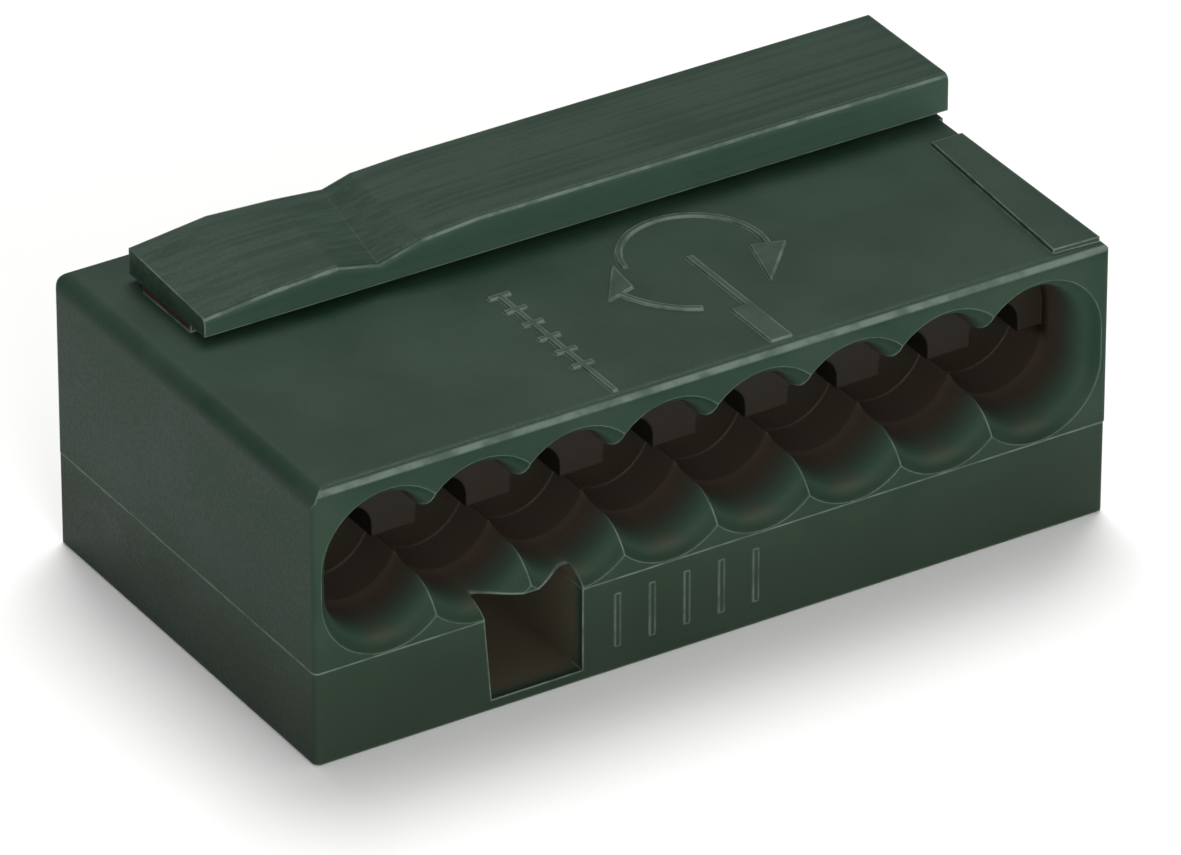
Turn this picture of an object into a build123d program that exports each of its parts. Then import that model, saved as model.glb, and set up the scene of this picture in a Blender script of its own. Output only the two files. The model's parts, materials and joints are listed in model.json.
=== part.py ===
from build123d import *

# Eight-pole push-in wire connector, in millimetres.
# Origin at the centre of the underside. +X runs along the row of poles, the wires leave along -Y, +Z is up.
# The housing is the upper shell and the base tray closes it from below.
# A busbar and eight leaf springs lie between them.

import os
from math import cos, radians, sin

# ---- Case ----
POLES = 8
PITCH = 2.14
WIDTH = 18.32
DEPTH = 10.0
BODY_TOP = 6.13
SEAM_Z = 2.10
RIGHT, FRONT, BACK = WIDTH / 2, -DEPTH / 2, DEPTH / 2
LEFT = -RIGHT
POLE_X = [(i - (POLES - 1) / 2) * PITCH for i in range(POLES)]
WALL_X = [x + PITCH / 2 for x in POLE_X[:-1]]

CORNER_R = 0.12
TOP_EDGE_R = 0.14
FRONT_EDGE_R = 0.28
LEFT_EDGE_R = 0.40
DRAFT = 0.02
SEAM_STEP = 0.015
FOOT_CHAMFER = 0.04
OVERCUT = 0.1

# ---- Wire entries: a flared funnel, a guide pocket behind its insulation stop, then a round duct ----
ENTRY_Z = 3.95
ENTRY_STRAIGHT = 0.64
# The funnel's radius and the depth at which it has it, from the mouth inward.
FUNNEL = ((1.50, 0), (1.37, 0.13), (1.27, 0.30), (1.17, 0.80), (1.13, 1.60))
FUNNEL_END_R, FUNNEL_DEPTH = FUNNEL[-1]
STOP_Z = 3.70
GUIDE_R = 0.57
POCKET_END = 2.60
DUCT_R = 0.50

# ---- Inner chamber ----
CHAMBER_FRONT = FRONT + 3.7
CHAMBER_BACK = BACK - 0.8
CHAMBER_SIDE = POLE_X[-1] + 0.82
CHAMBER_TOP = 5.33
FLOOR_Z = 1.2
PARTITION = 0.44
FIT = 0.03
LOOSE_FIT = 0.05
ROOT = 0.2

# ---- What holds the tray in the housing: two dowels in front, two latches behind ----
DOWEL_X = (WALL_X[0], WALL_X[-1])
DOWEL_Y = FRONT + 2.60
DOWEL_R, DOWEL_H = 0.25, 0.60
LATCH_X = (POLE_X[1], POLE_X[-2])
LATCH_W, LATCH_T, LATCH_TOP = 1.3, 0.35, 3.7
NUB_Z0, NUB_Z1, NUB_OUT = 2.9, 3.4, 0.2

# ---- Test slot, low on the front between the second and third poles ----
SLOT_X0, SLOT_X1 = LEFT + 3.80, LEFT + 6.06
SLOT_BOTTOM, SLOT_TOP = 0.25, 2.43
SLOT_DROP = 0.12
SLOT_LEAN = 0.20

# ---- Busbar ----
BAR_T = 0.35
BAR_BOTTOM = 4.42
BAR_TOP = BAR_BOTTOM + BAR_T
BAR_FRONT, BAR_BACK = FRONT + 4.9, CHAMBER_BACK - 0.38
BAR_END = CHAMBER_SIDE - 0.15
TAB_WALL = 1
TAB_X = WALL_X[TAB_WALL]
TAB_Y = FRONT + 4.1
TAB_W = 0.7
TAB_T = 0.3
TAB_BOTTOM = FLOOR_Z + 0.1

# ---- Leaf springs ----
STRIP_T = 0.2
STRIP_W = 1.2
BEND_R = 0.55
BEND_Y = CHAMBER_FRONT + 0.80
BEND_Z = FLOOR_Z + STRIP_T / 2 + BEND_R
TONGUE_ANGLE = 30.0
TONGUE_GAP = 0.04
UPRIGHT_Y = CHAMBER_BACK - 0.65
UPRIGHT_R = 0.35

# ---- Mounting rail on top ----
RAIL_LEFT, RAIL_RIGHT = LEFT + 1.15, RIGHT + 0.12
RAIL_FRONT, RAIL_BACK = FRONT + 6.05, FRONT + 9.0
RAIL_TOP = 7.10
NECK_H = 0.15
NECK_INSET = 0.55
RAIL_EDGE_R, RAIL_EDGE_Z = 0.15, BODY_TOP + 0.4
# The top's height at distances from the case's left side, along the rail's front and back edges.
RAIL_FRONT_LINE = ((7.4, 7.10), (6.1, 6.99), (5.1, 6.72), (4.2, 6.93), (2.7, 6.84), (1.15, 6.68))
RAIL_BACK_LINE = ((7.4, 7.10), (6.2, 7.05), (5.55, 6.87), (4.4, 6.98), (2.9, 7.06), (1.15, 6.86))

# ---- Raised end strip at the right of the top: corners from the case's front right corner ----
STRIP_CORNERS = ((-1.17, 0.30), (-0.10, 0.25), (-0.10, 5.20), (-0.83, 5.20))
STRIP_H = 0.10

# ---- Raised marks: two turning arrows round a wire, a strip gauge, and plain bars on the tray ----
MARK_H, MARK_W = 0.05, 0.12
MARK_SINK = 0.10
TURN_CENTRE = (LEFT + 11.15, FRONT + 4.05)
ARROW_HALF = 0.36
# Each arrow: shaft radius, angle of its tail, angle of its head's base, then the tip's radius and angle.
ARROWS = ((1.50, 172, -18, 1.85, -68), (2.20, -118, -163, 1.70, -193))
WIRE_X, WIRE_END, WIRE_START = LEFT + 11.04, FRONT + 3.95, FRONT + 0.30
BARE_W, SHEATH_W, SHEATH_END = 0.14, 0.48, FRONT + 1.75
GAUGE_X, GAUGE_START, GAUGE_END = LEFT + 6.98, FRONT + 0.30, FRONT + 4.60
GAUGE_STEPS, GAUGE_STEP, GAUGE_TICK = 6, 0.62, 0.24
TRAY_BARS, TRAY_BAR_X, TRAY_BAR_STEP = 5, LEFT + 6.8, 0.8
TRAY_BAR_Z0, TRAY_BAR_Z1 = 0.55, 1.75


def block(x0, x1, y0, y1, z0, z1):
    """A box between two corners."""
    return Pos((x0 + x1) / 2, (y0 + y1) / 2, (z0 + z1) / 2) * Box(x1 - x0, y1 - y0, z1 - z0)


def prism_x(points, x0, x1):
    """A (y, z) outline carried along X."""
    return extrude(Plane.YZ.offset(x0) * make_face(Polyline(*points, close=True)), x1 - x0)


def entry_plane(x, depth):
    """A plane across one wire entry, facing into the housing."""
    return Plane(origin=(x, FRONT + depth, ENTRY_Z), x_dir=(-1, 0, 0), z_dir=(0, 1, 0))


def funnel(x):
    """A flared entry of upright obround section: two turned ends with a straight stretch between them."""
    flare = Spline(*FUNNEL)
    half = flare + Polyline(FUNNEL[-1], (0, FUNNEL_DEPTH), (0, 0), FUNNEL[0])
    turned = revolve(make_face(half), Axis.Y)
    plan = make_face(half) + mirror(make_face(half), Plane.YZ)
    low = ENTRY_Z - ENTRY_STRAIGHT / 2
    straight = Pos(x, FRONT, low) * extrude(plan, ENTRY_STRAIGHT)
    return straight + Pos(x, FRONT, low) * turned + Pos(x, FRONT, low + ENTRY_STRAIGHT) * turned


def guide_pocket(x):
    """Behind the insulation stop: a trough as wide as the funnel, under an arched slot for the bare wire."""
    trough = Pos(0, -ENTRY_STRAIGHT / 2) * Circle(FUNNEL_END_R)
    trough &= Pos(0, STOP_Z - ENTRY_Z - FUNNEL_END_R) * Rectangle(2 * FUNNEL_END_R, 2 * FUNNEL_END_R)
    slot = Circle(GUIDE_R) + Pos(0, (STOP_Z - ENTRY_Z) / 2) * Rectangle(2 * GUIDE_R, ENTRY_Z - STOP_Z)
    return extrude(entry_plane(x, FUNNEL_DEPTH) * (trough + slot), POCKET_END - FUNNEL_DEPTH)


def wire_entry(x):
    """Everything cut for one wire: funnel, guide pocket and duct."""
    duct = extrude(entry_plane(x, POCKET_END) * Circle(DUCT_R), CHAMBER_FRONT - FRONT - POCKET_END)
    return funnel(x) + guide_pocket(x) + duct


def rounded_rectangle_z(z, inset_left, inset, corner):
    """The case's plan outline at a height, drawn in by an inset on the front, back and right."""
    x0, x1 = LEFT + inset_left, RIGHT - inset
    size = (x1 - x0, DEPTH - 2 * inset)
    return Pos((x0 + x1) / 2, 0, z) * RectangleRounded(*size, corner)


def housing_outside():
    """The upper shell's outer form, where three rounded outlines meet."""
    height = BODY_TOP - SEAM_Z
    plan = extrude(rounded_rectangle_z(SEAM_Z, 0, 0, CORNER_R), height)
    front_view = fillet_top(block(LEFT, RIGHT, FRONT, BACK, SEAM_Z, BODY_TOP), Axis.Y, LEFT_EDGE_R, TOP_EDGE_R)
    side_view = fillet_top(block(LEFT, RIGHT, FRONT, BACK, SEAM_Z, BODY_TOP), Axis.X, FRONT_EDGE_R, TOP_EDGE_R)
    return plan & front_view & side_view


def fillet_top(solid, along, low_radius, high_radius):
    """Rounds a box's two upper edges that lie along an axis, the lower-coordinate one first."""
    across = Axis.X if along == Axis.Y else Axis.Y
    for pick, radius in ((0, low_radius), (-1, high_radius)):
        top = [e for e in solid.edges().filter_by(along) if e.center().Z > BODY_TOP - 0.001]
        solid = fillet(ShapeList(top).sort_by(across)[pick], radius)
    return solid


def upright_face(y, points):
    """An (x, z) outline as a face across the depth, at one y and facing the front."""
    plane = Plane(origin=(0, y, 0), x_dir=(1, 0, 0), z_dir=(0, -1, 0))
    return plane * make_face(Polyline(*points, close=True))


def rail_section(y, line):
    """The rail's upright outline at one depth: a ramp, a shallow valley, then the level run."""
    low = BODY_TOP - MARK_SINK
    points = [(RAIL_LEFT, low), (RAIL_RIGHT, low), (RAIL_RIGHT, RAIL_TOP)]
    return upright_face(y, points + [(LEFT + distance, height) for distance, height in line])


def rail():
    """The T-shaped mounting rail, with a low neck under its head and its right end just past the case."""
    sections = [rail_section(RAIL_FRONT, RAIL_FRONT_LINE), rail_section(RAIL_BACK, RAIL_BACK_LINE)]
    solid = loft(sections, ruled=True)
    front_edges = [e for e in solid.edges() if abs(e.center().Y - RAIL_FRONT) < FIT]
    crest = [e for e in front_edges if e.center().Z > RAIL_EDGE_Z]
    solid = fillet([e for e in crest if abs((e @ 1 - e @ 0).X) > RAIL_EDGE_R], RAIL_EDGE_R)
    under_head = BODY_TOP + NECK_H
    front_gap = (RAIL_FRONT - OVERCUT, RAIL_FRONT + NECK_INSET)
    back_gap = (RAIL_BACK - NECK_INSET, RAIL_BACK + OVERCUT)
    for y0, y1 in (front_gap, back_gap):
        solid -= block(LEFT, RAIL_RIGHT, y0, y1, BODY_TOP, under_head)
    return solid - block(RIGHT, RAIL_RIGHT, RAIL_FRONT, RAIL_BACK, 0, under_head)


def end_strip():
    """The low raised strip at the right end of the top, a little narrower towards the rail."""
    corners = [(RIGHT + dx, FRONT + dy) for dx, dy in STRIP_CORNERS]
    return raised(make_face(Polyline(*corners, close=True)), STRIP_H)


def raised(sketch, height=MARK_H):
    """A flat sketch standing proud of the top."""
    return extrude(Pos(0, 0, BODY_TOP - MARK_SINK) * sketch, MARK_SINK + height)


def bar_mark(x0, y0, x1, y1):
    """A straight raised bar between two points."""
    return raised(trace(Line((x0, y0), (x1, y1)), MARK_W))


def turning_arrow(radius, tail, base, tip_radius, tip):
    """A curved raised arrow round the pictogram's centre, with a straight-sided head."""
    shaft = trace(CenterArc(TURN_CENTRE, radius, tail, base - tail), MARK_W)
    corners = ((radius - ARROW_HALF, base), (radius + ARROW_HALF, base), (tip_radius, tip))
    head = [Vector(*TURN_CENTRE) + Vector(r, 0).rotate(Axis.Z, angle) for r, angle in corners]
    return [raised(shaft), raised(make_face(Polyline(*head, close=True)))]


def turning_pictogram():
    """Two turning arrows round a wire: the wire is turned to and fro to pull it out again."""
    bare = [(WIRE_X - BARE_W, WIRE_END), (WIRE_X, WIRE_END), (WIRE_X, WIRE_START)]
    sheath = [(WIRE_X - SHEATH_W, WIRE_START), (WIRE_X - SHEATH_W, SHEATH_END), (WIRE_X - BARE_W, SHEATH_END)]
    marks = [raised(make_face(Polyline(*bare, *sheath, close=True)))]
    for arrow in ARROWS:
        marks += turning_arrow(*arrow)
    return marks


def strip_gauge():
    """A plain scale beside the pictogram for how far a wire is stripped."""
    marks = [bar_mark(GAUGE_X, GAUGE_START, GAUGE_X, GAUGE_END)]
    for i in range(GAUGE_STEPS):
        y = GAUGE_END - i * GAUGE_STEP
        marks.append(bar_mark(GAUGE_X - GAUGE_TICK, y, GAUGE_X + GAUGE_TICK, y))
    return marks


def housing():
    """Upper shell with its entries, chamber, busbar ribs, rail and raised marks."""
    solid = housing_outside()
    for x in POLE_X:
        solid -= wire_entry(x)
    solid -= block(-CHAMBER_SIDE, CHAMBER_SIDE, CHAMBER_FRONT, CHAMBER_BACK, SEAM_Z, CHAMBER_TOP)
    solid -= test_slot()
    for x in WALL_X:
        solid += block(x - PARTITION / 2, x + PARTITION / 2, CHAMBER_FRONT, CHAMBER_BACK, BAR_TOP, CHAMBER_TOP)
    solid += rail()
    solid += end_strip()
    for mark in turning_pictogram() + strip_gauge():
        solid += mark
    for x in DOWEL_X:
        solid -= Pos(x, DOWEL_Y, SEAM_Z) * Cylinder(DOWEL_R + FIT, 2 * (DOWEL_H + LOOSE_FIT))
    for x in LATCH_X:
        half = LATCH_W / 2 + FIT
        nub_back = CHAMBER_BACK + NUB_OUT + LOOSE_FIT
        solid -= block(x - half, x + half, CHAMBER_BACK, nub_back, NUB_Z0, NUB_Z1 + LOOSE_FIT)
    return solid


def test_slot():
    """The slot through the front of both case parts: its floor falls inward and its left wall leans."""
    y0, y1 = FRONT - OVERCUT, CHAMBER_FRONT + OVERCUT
    side = [(y0, SLOT_BOTTOM), (y1, SLOT_BOTTOM - SLOT_DROP), (y1, SLOT_TOP), (y0, SLOT_TOP)]
    front = [(SLOT_X0 + SLOT_LEAN, 0), (SLOT_X1, 0), (SLOT_X1, SLOT_TOP), (SLOT_X0, SLOT_TOP)]
    return prism_x(side, SLOT_X0, SLOT_X1) & extrude(upright_face(y1, front), y1 - y0)


def tray_outside():
    """The tray's drafted outer form with its foot chamfer."""
    levels = ((0, DRAFT + FOOT_CHAMFER, FOOT_CHAMFER), (FOOT_CHAMFER, DRAFT, 0), (SEAM_Z, SEAM_STEP, 0))
    sections = [rounded_rectangle_z(z, left, inset, CORNER_R) for z, inset, left in levels]
    return loft(sections[:2], ruled=True) + loft(sections[1:], ruled=True)


def latch(x):
    """A tongue up the back wall with a nub that snaps into the housing."""
    y0, y1 = CHAMBER_BACK - FIT - LATCH_T, CHAMBER_BACK - FIT
    nub = [(y0, NUB_Z0), (y1 + NUB_OUT, NUB_Z0), (y1, NUB_Z1), (y0, NUB_Z1)]
    tongue = block(x - LATCH_W / 2, x + LATCH_W / 2, y0, y1, FLOOR_Z - ROOT, LATCH_TOP)
    return tongue + prism_x(nub, x - LATCH_W / 2, x + LATCH_W / 2)


def base_tray():
    """Lower case part: floor, partitions between the springs, dowels and latches."""
    solid = tray_outside()
    solid -= block(-CHAMBER_SIDE, CHAMBER_SIDE, CHAMBER_FRONT, CHAMBER_BACK, FLOOR_Z, SEAM_Z + OVERCUT)
    for i, x in enumerate(WALL_X):
        y0 = TAB_Y + TAB_T + LOOSE_FIT if i == TAB_WALL else CHAMBER_FRONT + FIT
        y1 = CHAMBER_BACK - FIT
        solid += block(x - PARTITION / 2, x + PARTITION / 2, y0, y1, FLOOR_Z - ROOT, BAR_BOTTOM)
    solid -= test_slot()
    for x in DOWEL_X:
        solid += Pos(x, DOWEL_Y, SEAM_Z) * Cylinder(DOWEL_R, 2 * DOWEL_H)
    for x in LATCH_X:
        solid += latch(x)
    for i in range(TRAY_BARS):
        solid += tray_bar(TRAY_BAR_X + i * TRAY_BAR_STEP)
    return solid


def tray_bar(x):
    """A plain raised bar on the tray's front."""
    return block(x, x + MARK_W, FRONT, FRONT + ROOT, TRAY_BAR_Z0, TRAY_BAR_Z1)


def busbar():
    """Flat bar across all poles with one tab bent down behind the test slot."""
    bar = block(-BAR_END, BAR_END, BAR_FRONT, BAR_BACK, BAR_BOTTOM, BAR_TOP)
    neck = block(TAB_X - TAB_W / 2, TAB_X + TAB_W / 2, TAB_Y, BAR_FRONT + OVERCUT, BAR_BOTTOM, BAR_TOP)
    tab = block(TAB_X - TAB_W / 2, TAB_X + TAB_W / 2, TAB_Y, TAB_Y + TAB_T, TAB_BOTTOM, BAR_TOP)
    return bar + neck + tab


def tongue_root():
    """Where the tongue leaves the front bend: the centre line's (y, z)."""
    a = radians(TONGUE_ANGLE)
    return BEND_Y - BEND_R * sin(a), BEND_Z + BEND_R * cos(a)


def strip(points_path, x):
    """A leaf of the strip's thickness along a (y, z) path, centred on a pole."""
    flat = trace(points_path, STRIP_T)
    return extrude(Plane.YZ.offset(x - STRIP_W / 2) * flat, STRIP_W)


def spring_leg(x):
    """Fixed leg on the floor, with the front bend and the upright that bears on the busbar."""
    line_z = FLOOR_Z + STRIP_T / 2
    root = tongue_root()
    bend = ThreePointArc((BEND_Y, line_z), (BEND_Y - BEND_R, BEND_Z), root)
    run = Line((BEND_Y, line_z), (UPRIGHT_Y - UPRIGHT_R, line_z))
    heel_mid = (UPRIGHT_Y - UPRIGHT_R * (1 - sin(radians(45))), line_z + UPRIGHT_R * (1 - cos(radians(45))))
    heel = ThreePointArc(run @ 1, heel_mid, (UPRIGHT_Y, line_z + UPRIGHT_R))
    upright = Line(heel @ 1, (UPRIGHT_Y, BAR_BOTTOM))
    return strip(bend + run + heel + upright, x)


def tongue_hinge():
    """The inner corner of the tongue's root, about which it flexes: (y, z)."""
    a = radians(TONGUE_ANGLE)
    y, z = tongue_root()
    return y + sin(a) * STRIP_T / 2, z - cos(a) * STRIP_T / 2


def spring_tongue(x):
    """The straight free tongue, which rises to just under the busbar."""
    a = radians(TONGUE_ANGLE)
    y, z = tongue_root()
    rise = BAR_BOTTOM - TONGUE_GAP - cos(a) * STRIP_T / 2 - z
    return strip(Line((y, z), (y + rise / sin(a) * cos(a), z + rise)), x)


def parts():
    """Every node by name."""
    named = {"housing": housing(), "base_tray": base_tray(), "busbar": busbar()}
    for number, x in enumerate(POLE_X, 1):
        named[f"spring_leg_{number}"] = spring_leg(x)
        named[f"spring_tongue_{number}"] = spring_tongue(x)
    return named


os.makedirs("parts", exist_ok=True)
for name, solid in parts().items():
    export_step(solid, f"parts/{name}.step")
print("tongue hinge y, z:", [round(v, 4) for v in tongue_hinge()])
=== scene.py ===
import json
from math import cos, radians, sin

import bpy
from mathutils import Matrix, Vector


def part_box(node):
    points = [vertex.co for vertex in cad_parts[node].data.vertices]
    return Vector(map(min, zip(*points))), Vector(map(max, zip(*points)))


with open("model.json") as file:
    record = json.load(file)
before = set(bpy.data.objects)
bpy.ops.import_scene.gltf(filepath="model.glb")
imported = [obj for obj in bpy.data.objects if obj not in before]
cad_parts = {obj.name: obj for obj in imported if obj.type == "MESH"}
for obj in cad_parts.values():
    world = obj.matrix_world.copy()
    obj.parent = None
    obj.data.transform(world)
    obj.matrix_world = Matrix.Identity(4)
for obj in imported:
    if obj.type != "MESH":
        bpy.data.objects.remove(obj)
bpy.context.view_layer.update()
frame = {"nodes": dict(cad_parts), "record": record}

# A dark green push-in wire connector on a white table, lit like a catalogue picture.
# Every piece is a CAD node, so this script gives them materials, a camera, lights and a floor.
#
# The case's tints that depend on position were fitted to the light and shade of one picture. They
# aren't the plastic's own colour, and they stay where they are when the part is lit otherwise.

NODES = frame["nodes"]
MM = 0.001
WHITE = (1.0, 1.0, 1.0, 1.0)

# ---- Where things are, from the frame ----
TRAY_LOW, TRAY_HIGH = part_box("base_tray")
HOUSING_LOW, HOUSING_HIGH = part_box("housing")
CASE_CENTRE = (TRAY_LOW + TRAY_HIGH) / 2

# ---- The case's faces, in millimetres, as the shaders use them ----
FRONT = HOUSING_LOW.y / MM
BACK = HOUSING_HIGH.y / MM
SIDE = TRAY_HIGH.x / MM
BODY_TOP = 6.13
NECK_HEIGHT = 0.15
NECK_FADE = 0.03

# ---- Camera: it stands to the left of the entries' side and above them ----
VIEW_AZIMUTH = -31.8
VIEW_ELEVATION = 30.6
VIEW_DISTANCE = 238 * MM
VIEW_LENS = 365.8
VIEW_HEIGHT = 3.064 * MM
VIEW_RIGHT, VIEW_UP = -0.147 * MM, 0.665 * MM
VIEW_CLIP_START, VIEW_CLIP_END = 0.01, 5

# ---- Light and floor ----
WORLD_STRENGTH = 0.46
LIGHT_RANGE = 0.40
FLOOR_SIZE = 4.0
FLOOR_COLOUR = (0.93, 0.93, 0.92, 1)
FLOOR_ROUGHNESS = 0.9
FLOOR_SPECULAR = 0.1

# ---- Case plastic: colours, with painted light and shade ----
CASE_GREEN = (0.0090, 0.0270, 0.0150, 1)
CASE_GREEN_LIGHT = (0.0190, 0.0400, 0.0250, 1)
# Pale colour for worn edges, which also carries painted highlights on edges, crests and raised marks
CASE_PALE_WEAR_AND_HIGHLIGHT = (0.140, 0.180, 0.150, 1)
# Painted light: the entries' lit mouths and the front of the rail's head
CASE_PAINTED_LIGHT = (0.0330, 0.0620, 0.0440, 1)
# Painted shade: the dim brown deep in the entries and the chamber
CASE_PAINTED_SHADE = (0.0520, 0.0390, 0.0290, 1)
# Painted shade: the darkest, on the entries' roofs and back walls
CASE_PAINTED_DARKEST_SHADE = (0.0115, 0.0092, 0.0058, 1)
# A browner green that comes in towards the bottom
CASE_LOW = (0.0150, 0.0235, 0.0145, 1)
# Painted shade in the undercut under the rail's head
CASE_PAINTED_NECK_SHADE = (0.0380, 0.0170, 0.0125, 1)
# Painted light: the paler brown inside the test slot
CASE_PAINTED_SLOT_LIGHT = (0.0850, 0.0740, 0.0500, 1)

# ---- Case plastic: depths behind the front between which a painted light or shade tint comes in, in millimetres.
# The wear and painted highlights go out inside between the third pair ----
MOUTH_DEPTHS = (0.02, 0.30)
SLOT_DEPTHS = (0.05, 0.50)
PALE_EDGE_FADE_DEPTHS = (0.10, 0.90)
DEEP_DEPTHS = (0.35, 1.35)
DEEPEST_DEPTHS = (1.30, 1.55)

# ---- Case plastic: how far inside its other faces the inside begins, in millimetres ----
SIDE_INSET = (0.15, 0.45)
TOP_INSET = (0.20, 0.45)
BACK_INSET = (0.20, 0.45)
FLOOR_INSET = (0.03, 0.12)

# ---- Case plastic: heights over the floor between which a painted light or shade tint, or the
# browner green, comes in, in millimetres, and how strong the green towards the bottom gets ----
SLOT_HEIGHTS = (2.5, 2.3)
ENTRY_ROOF_HEIGHTS = (3.30, 3.65)
LOW_HEIGHTS = (3.2, 1.0)
LOW_STRENGTH = 0.7

# ---- Case plastic: heights over the body's top, in millimetres ----
STRIATION_HEIGHTS = (0.12, 0.25)
NECK_FOOT_HEIGHTS = (0.005, 0.03)
CREST_HEIGHTS = (-0.32, -0.22)
MARK_FOOT_HEIGHTS = (0.02, 0.04)
MARK_HEAD_HEIGHTS = (0.08, 0.06)

# ---- Case plastic: how far behind the part's centre the rail's neck begins, in millimetres ----
NECK_BEHIND = (1.00, 1.15)

# ---- Directions, and the cosines between which a face counts as pointing along them.
# EDGE_BEND is for the surface's own direction against its rounded one ----
TO_FRONT = (0, -1, 0)
TO_FRONT_AND_UP = (0, -1, 1)
BACK_WALL_FACING = (0.55, 0.90)
RAIL_FRONT_FACING = (0.70, 0.95)
CREST_FACING = (0.95, 0.995)
EDGE_BEND = (0.995, 0.88)

# ---- Case plastic: wear with painted highlights, and texture. A RANGE is the input, and the pair after it the output ----
EDGE_ROUND_RADIUS = 0.07 * MM
GRAIN_HEIGHT = 0.0022 * MM
BEVEL_SAMPLES = 8
# Strength of the painted highlight along the rounded crests
CREST_PAINTED_HIGHLIGHT = 0.7
# Strength of the painted highlight on the raised marks
MARK_PAINTED_HIGHLIGHT = 0.12
RAIL_FRONT_LIGHT_STRENGTH = 0.65
CLOUD_SCALE, CLOUD_DETAIL = 0.45, 3.0
GRAIN_SCALE, GRAIN_DETAIL = 14.0, 4.0
PATCH_SCALE, PATCH_DETAIL = 2.2, 3.0
PATCH_RANGE = (0.30, 0.62)
PATCH_WEAR_AND_HIGHLIGHT = (0.45, 1.0)
STREAK_SCALE, STREAK_DETAIL = 1.0, 3.0
STREAK_STRETCH = (0.06, 7.0, 7.0)
STREAK_TONE, STREAK_RELIEF = 1.5, 2.0
TONE_RANGE = (0.25, 0.75)
NOISE_MIDDLE = 0.5
GRAIN_RANGE = (0.7, 1.3)
CASE_ROUGHNESS = (0.40, 0.58)
CASE_SPECULAR = 0.12

# ---- Metals. A strip is SMOOTHER and ROUGHER than its own roughness by these amounts ----
TIN = (0.62, 0.60, 0.56, 1)
TIN_DARK = (0.42, 0.39, 0.35, 1)
TIN_GRAIN = (0.3, 5, 5)
TIN_ROUGHNESS = 0.40
STEEL = (0.56, 0.56, 0.54, 1)
STEEL_DARK = (0.34, 0.34, 0.33, 1)
STEEL_GRAIN = (5, 0.3, 0.3)
STEEL_ROUGHNESS = 0.32
LINE_SCALE, LINE_DETAIL = 6.0, 3.0
LINE_RANGE = (0.3, 0.7)
STAIN_SCALE, STAIN_DETAIL = 1.1, 3.0
STAIN_RANGE = (0.45, 0.75)
SMOOTHER, ROUGHER = 0.08, 0.10


# ---------------------------------------------------------------- camera, floor and light


def view_axes(azimuth=VIEW_AZIMUTH, elevation=VIEW_ELEVATION):
    """Unit vectors from the object to a viewer, to the viewer's right and to their top."""
    a, e = radians(azimuth), radians(elevation)
    back = Vector((sin(a) * cos(e), -cos(a) * cos(e), sin(e)))
    right = Vector((cos(a), sin(a), 0))
    return back, right, back.cross(right)


def face_along(obj, direction):
    """Turns a camera or a light so that it looks along a direction."""
    obj.rotation_mode = "QUATERNION"
    obj.rotation_quaternion = direction.to_track_quat("-Z", "Y")


def make_camera():
    back, right, up = view_axes()
    aim = Vector((CASE_CENTRE.x, CASE_CENTRE.y, VIEW_HEIGHT)) - right * VIEW_RIGHT - up * VIEW_UP
    data = bpy.data.cameras.new("camera")
    data.lens = VIEW_LENS
    data.clip_start, data.clip_end = VIEW_CLIP_START, VIEW_CLIP_END
    camera = bpy.data.objects.new("camera", data)
    camera.location = aim + back * VIEW_DISTANCE
    face_along(camera, -back)
    bpy.context.scene.collection.objects.link(camera)
    bpy.context.scene.camera = camera


def make_softbox(name, azimuth, elevation, size, power):
    """A square area light that faces the object from one direction."""
    direction, _, _ = view_axes(azimuth, elevation)
    data = bpy.data.lights.new(name, "AREA")
    data.size = size
    data.energy = power
    light = bpy.data.objects.new(name, data)
    light.location = CASE_CENTRE + direction * LIGHT_RANGE
    face_along(light, -direction)
    bpy.context.scene.collection.objects.link(light)


def make_world():
    world = bpy.data.worlds.new("studio")
    world.use_nodes = True
    background = world.node_tree.nodes["Background"]
    background.inputs["Color"].default_value = WHITE
    background.inputs["Strength"].default_value = WORLD_STRENGTH
    bpy.context.scene.world = world


def make_floor():
    bpy.ops.mesh.primitive_plane_add(size=FLOOR_SIZE, location=(0, 0, 0))
    floor = bpy.context.object
    floor.name = "floor"
    paper = Shader("floor")
    paper.set("Base Color", FLOOR_COLOUR)
    paper.set("Roughness", FLOOR_ROUGHNESS)
    paper.set("Specular IOR Level", FLOOR_SPECULAR)
    floor.data.materials.append(paper.material)


# ---------------------------------------------------------------- shader building blocks


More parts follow.
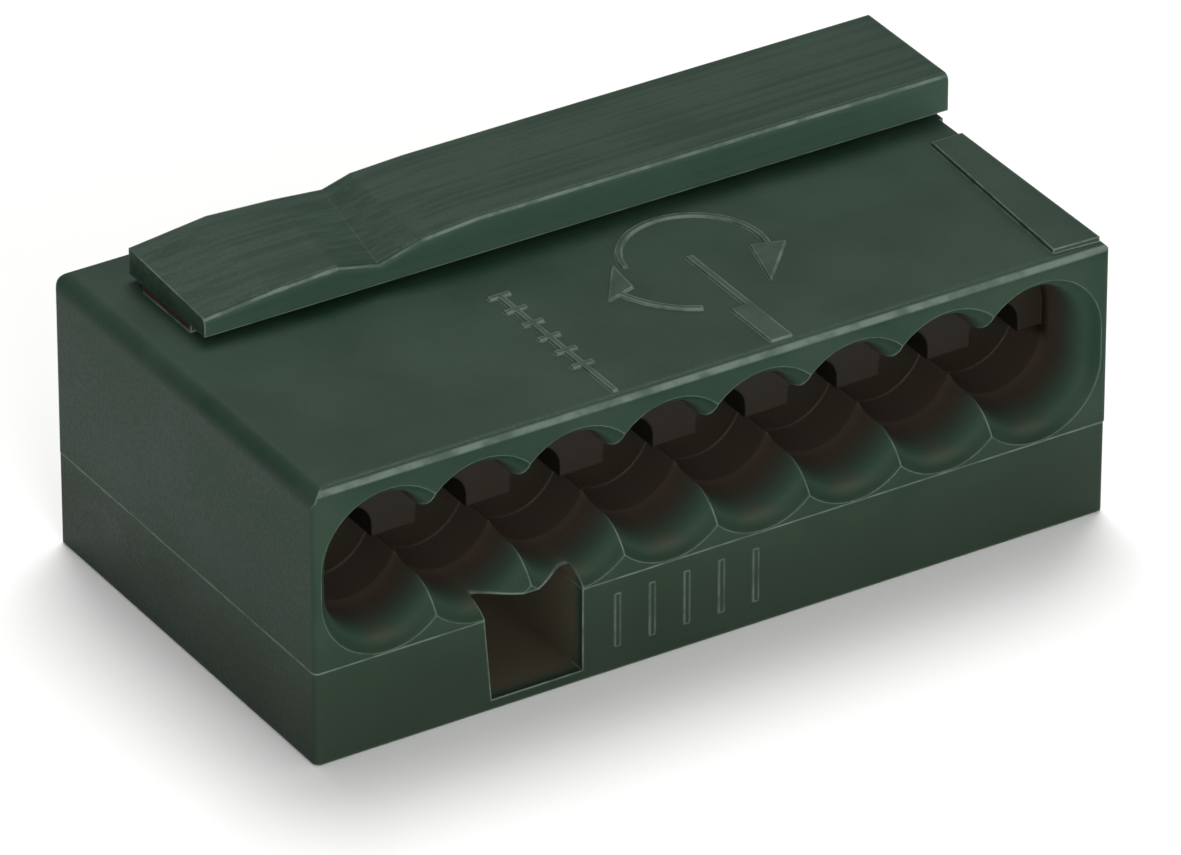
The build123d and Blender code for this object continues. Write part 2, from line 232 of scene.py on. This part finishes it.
class Shader:
    """A material's node tree with short calls for the nodes used here.

    Positions are in millimetres. The radius of a rounded edge and the distance of a bump are in
    metres, like the scene.
    """

    def __init__(self, name):
        self.material = bpy.data.materials.new(name)
        self.material.use_nodes = True
        self.nodes = self.material.node_tree.nodes
        self.links = self.material.node_tree.links
        self.surface = self.nodes["Principled BSDF"]

    def set(self, socket, value):
        """Sets one of the surface's own sockets, to a constant or to another node's output."""
        self.feed(self.surface.inputs[socket], value)

    def feed(self, socket, value):
        if isinstance(value, bpy.types.NodeSocket):
            self.links.new(value, socket)
        else:
            socket.default_value = value

    def place(self, scale=(1, 1, 1)):
        """The point's own coordinates in millimetres, stretched by a scale."""
        coordinates = self.nodes.new("ShaderNodeTexCoord")
        mapping = self.nodes.new("ShaderNodeMapping")
        mapping.inputs["Scale"].default_value = [s / MM for s in scale]
        self.links.new(coordinates.outputs["Object"], mapping.inputs["Vector"])
        return mapping.outputs["Vector"]

    def axis(self, name):
        """One of the point's coordinates, in millimetres."""
        split = self.nodes.new("ShaderNodeSeparateXYZ")
        self.links.new(self.place(), split.inputs["Vector"])
        return split.outputs[name]

    def noise(self, scale, detail, stretch=(1, 1, 1)):
        """Smooth noise with a number of lumps to a millimetre, from about 0 to 1."""
        node = self.nodes.new("ShaderNodeTexNoise")
        node.inputs["Scale"].default_value = scale
        node.inputs["Detail"].default_value = detail
        self.links.new(self.place(stretch), node.inputs["Vector"])
        return node.outputs["Fac"]

    def math(self, operation, a, b=0.0):
        node = self.nodes.new("ShaderNodeMath")
        node.operation = operation
        self.feed(node.inputs[0], a)
        self.feed(node.inputs[1], b)
        return node.outputs["Value"]

    def product(self, first, *others):
        """All the values multiplied together."""
        total = first
        for value in others:
            total = self.math("MULTIPLY", total, value)
        return total

    def ramp(self, value, low, high, out_low=0.0, out_high=1.0):
        """A smooth step from one output to another as the value goes from low to high."""
        node = self.nodes.new("ShaderNodeMapRange")
        node.interpolation_type = "SMOOTHSTEP"
        sockets = ("Value", "From Min", "From Max", "To Min", "To Max")
        for socket, number in zip(sockets, (value, low, high, out_low, out_high)):
            self.feed(node.inputs[socket], number)
        return node.outputs["Result"]

    def mix(self, factor, a, b):
        """From colour a to colour b."""
        node = self.nodes.new("ShaderNodeMix")
        node.data_type = "RGBA"
        self.feed(node.inputs["Factor"], factor)
        colours = [s for s in node.inputs if s.type == "RGBA"]
        self.feed(colours[0], a)
        self.feed(colours[1], b)
        return next(s for s in node.outputs if s.type == "RGBA")

    def flat_normal(self):
        """The surface's own direction."""
        return self.nodes.new("ShaderNodeNewGeometry").outputs["Normal"]

    def rounded_normal(self, radius):
        """The surface's direction with its sharp edges softened over a radius."""
        node = self.nodes.new("ShaderNodeBevel")
        node.samples = BEVEL_SAMPLES
        node.inputs["Radius"].default_value = radius
        return node.outputs["Normal"]

    def agreement(self, a, b):
        """1 where two directions are the same, 0 where they are at right angles."""
        node = self.nodes.new("ShaderNodeVectorMath")
        node.operation = "DOT_PRODUCT"
        self.feed(node.inputs[0], a)
        self.feed(node.inputs[1], b)
        return node.outputs["Value"]

    def facing(self, direction, low, high):
        """Rises from 0 to 1 as the surface's own direction comes to point along a direction."""
        return self.ramp(self.agreement(self.flat_normal(), Vector(direction).normalized()), low, high)

    def edges(self, radius):
        """0 on flat faces, rising to 1 on sharp edges."""
        return self.ramp(self.agreement(self.rounded_normal(radius), self.flat_normal()), *EDGE_BEND)

    def bump(self, height, distance, normal):
        node = self.nodes.new("ShaderNodeBump")
        node.inputs["Distance"].default_value = distance
        self.feed(node.inputs["Height"], height)
        self.links.new(normal, node.inputs["Normal"])
        return node.outputs["Normal"]


# ---------------------------------------------------------------- masks on the case


def over_top(shader, low, high):
    """Rises from 0 to 1 between two heights over the body's top, or falls if low is the higher."""
    return shader.ramp(shader.axis("Z"), BODY_TOP + low, BODY_TOP + high)


def inside_mask(shader, start, end):
    """0 on the case's outer faces, rising to 1 between two depths behind its front."""
    inward = shader.ramp(shader.axis("Y"), FRONT + start, FRONT + end)
    off_centre = shader.math("ABSOLUTE", shader.axis("X"))
    across = shader.ramp(off_centre, *(SIDE - inset for inset in SIDE_INSET))
    below_top = over_top(shader, *(-inset for inset in TOP_INSET))
    off_back = shader.ramp(shader.axis("Y"), *(BACK - inset for inset in BACK_INSET))
    off_floor = shader.ramp(shader.axis("Z"), *FLOOR_INSET)
    return shader.product(inward, across, below_top, off_back, off_floor)


def rail_front_painted_light(shader):
    """Painted light, part way, on the upright front of the mounting rail's head."""
    upright = shader.facing(TO_FRONT, *RAIL_FRONT_FACING)
    on_rail = over_top(shader, NECK_HEIGHT - NECK_FADE, NECK_HEIGHT)
    return shader.product(upright, on_rail, RAIL_FRONT_LIGHT_STRENGTH)


def neck_painted_shade(shader):
    """Painted shade: 1 on the low neck under the mounting rail's head."""
    above = over_top(shader, *NECK_FOOT_HEIGHTS)
    below = over_top(shader, NECK_HEIGHT, NECK_HEIGHT - NECK_FADE)
    behind = shader.ramp(shader.axis("Y"), *NECK_BEHIND)
    return shader.product(above, below, behind)


def crest_painted_highlight(shader):
    """Painted highlight along the rounded upper edges of the front and of the rail."""
    crest = shader.product(shader.facing(TO_FRONT_AND_UP, *CREST_FACING), CREST_PAINTED_HIGHLIGHT)
    return shader.product(crest, over_top(shader, *CREST_HEIGHTS))


def raised_mark_painted_highlight(shader):
    """Painted highlight on the marks that stand a little above the top, and nowhere else."""
    above = over_top(shader, *MARK_FOOT_HEIGHTS)
    below = over_top(shader, *MARK_HEAD_HEIGHTS)
    return shader.product(above, below, MARK_PAINTED_HIGHLIGHT)


# ---------------------------------------------------------------- materials


def rail_striations(shader):
    """Fine drag lines along the mounting rail's head, and nothing below it."""
    noise = shader.noise(STREAK_SCALE, STREAK_DETAIL, STREAK_STRETCH)
    lines = shader.math("SUBTRACT", noise, NOISE_MIDDLE)
    return shader.product(lines, over_top(shader, *STRIATION_HEIGHTS))


def inside_painted_light_and_shade(shader, outside):
    """Painted shade in the entries and chamber, with painted light at mouths and test slot.
    The fitted dim browns that the entries, the test slot and the chamber fall off to.
    """
    low = shader.ramp(shader.axis("Z"), *SLOT_HEIGHTS)
    painted_inside = shader.mix(low, CASE_PAINTED_SHADE, CASE_PAINTED_SLOT_LIGHT)
    # Painted light on the entries' lit mouths.
    colour = shader.mix(inside_mask(shader, *MOUTH_DEPTHS), outside, CASE_PAINTED_LIGHT)
    # Painted light in the test slot, painted shade elsewhere deep inside.
    colour = shader.mix(shader.product(inside_mask(shader, *SLOT_DEPTHS), low), colour, painted_inside)
    colour = shader.mix(inside_mask(shader, *DEEP_DEPTHS), colour, painted_inside)
    # Painted darkest shade on the entries' roofs and back walls, deep inside.
    roof = shader.ramp(shader.axis("Z"), *ENTRY_ROOF_HEIGHTS)
    back_wall = shader.facing(TO_FRONT, *BACK_WALL_FACING)
    darkest_shade = shader.math("MAXIMUM", roof, back_wall)
    return shader.mix(shader.product(inside_mask(shader, *DEEPEST_DEPTHS), darkest_shade), colour, CASE_PAINTED_DARKEST_SHADE)


def case_colour(shader, clouds, streaks):
    """Two greens, then painted light and shade fitted by position, before wear and painted highlights."""
    tone = shader.ramp(shader.math("ADD", clouds, shader.product(streaks, STREAK_TONE)), *TONE_RANGE)
    colour = shader.mix(tone, CASE_GREEN, CASE_GREEN_LIGHT)
    # Painted light on the rail's upright front.
    colour = shader.mix(rail_front_painted_light(shader), colour, CASE_PAINTED_LIGHT)
    low = shader.ramp(shader.axis("Z"), *LOW_HEIGHTS, 0.0, LOW_STRENGTH)
    colour = inside_painted_light_and_shade(shader, shader.mix(low, colour, CASE_LOW))
    return shader.mix(neck_painted_shade(shader), colour, CASE_PAINTED_NECK_SHADE)


def case_wear_and_highlight(shader):
    """Paler from wear and painted highlights: edges, crests and raised marks, patchily, not inside."""
    patchy = shader.ramp(shader.noise(PATCH_SCALE, PATCH_DETAIL), *PATCH_RANGE, *PATCH_WEAR_AND_HIGHLIGHT)
    worn_and_highlit = shader.math("MAXIMUM", shader.edges(EDGE_ROUND_RADIUS), crest_painted_highlight(shader))
    worn_and_highlit = shader.math("MAXIMUM", worn_and_highlit, raised_mark_painted_highlight(shader))
    outside = shader.math("SUBTRACT", 1.0, inside_mask(shader, *PALE_EDGE_FADE_DEPTHS))
    return shader.product(worn_and_highlit, outside, patchy)


def case_plastic():
    """Dark green moulded plastic: satin, faintly mottled, with wear and painted light and shade."""
    shader = Shader("case_plastic")
    clouds = shader.noise(CLOUD_SCALE, CLOUD_DETAIL)
    grain = shader.noise(GRAIN_SCALE, GRAIN_DETAIL)
    streaks = rail_striations(shader)
    colour = case_colour(shader, clouds, streaks)
    shader.set("Base Color", shader.mix(case_wear_and_highlight(shader), colour, CASE_PALE_WEAR_AND_HIGHLIGHT))
    mottle = shader.math("ADD", grain, clouds)
    shader.set("Roughness", shader.ramp(mottle, *GRAIN_RANGE, *CASE_ROUGHNESS))
    shader.set("Specular IOR Level", CASE_SPECULAR)
    height = shader.math("ADD", grain, shader.product(streaks, STREAK_RELIEF))
    shader.set("Normal", shader.bump(height, GRAIN_HEIGHT, shader.rounded_normal(EDGE_ROUND_RADIUS)))
    return shader.material


def metal(name, colour, dark, stretch, roughness):
    """Rolled strip: brushed along one direction, with darker stains and softened edges."""
    shader = Shader(name)
    lines = shader.noise(LINE_SCALE, LINE_DETAIL, stretch)
    stains = shader.ramp(shader.noise(STAIN_SCALE, STAIN_DETAIL), *STAIN_RANGE)
    shader.set("Base Color", shader.mix(stains, colour, dark))
    shader.set("Metallic", 1.0)
    roughness_range = (roughness - SMOOTHER, roughness + ROUGHER)
    shader.set("Roughness", shader.ramp(lines, *LINE_RANGE, *roughness_range))
    shader.set("Normal", shader.bump(lines, GRAIN_HEIGHT, shader.rounded_normal(EDGE_ROUND_RADIUS)))
    return shader.material


def dress_nodes():
    """Gives each CAD node the material of its slot in the record."""
    slots = {
        "case_plastic": case_plastic(),
        "tinned_copper": metal("tinned_copper", TIN, TIN_DARK, TIN_GRAIN, TIN_ROUGHNESS),
        "spring_steel": metal("spring_steel", STEEL, STEEL_DARK, STEEL_GRAIN, STEEL_ROUGHNESS),
    }
    for part in frame["record"]["subparts"]:
        materials = NODES[part["node"]].data.materials
        materials.clear()
        materials.append(slots[part["material_slot"]])


# ---------------------------------------------------------------- scene


make_camera()
make_world()
make_floor()
dress_nodes()
make_softbox("key", azimuth=147, elevation=64, size=0.22, power=1.20)
make_softbox("front", azimuth=-8, elevation=10, size=0.25, power=1.75)
bpy.context.scene.view_settings.view_transform = "Standard"
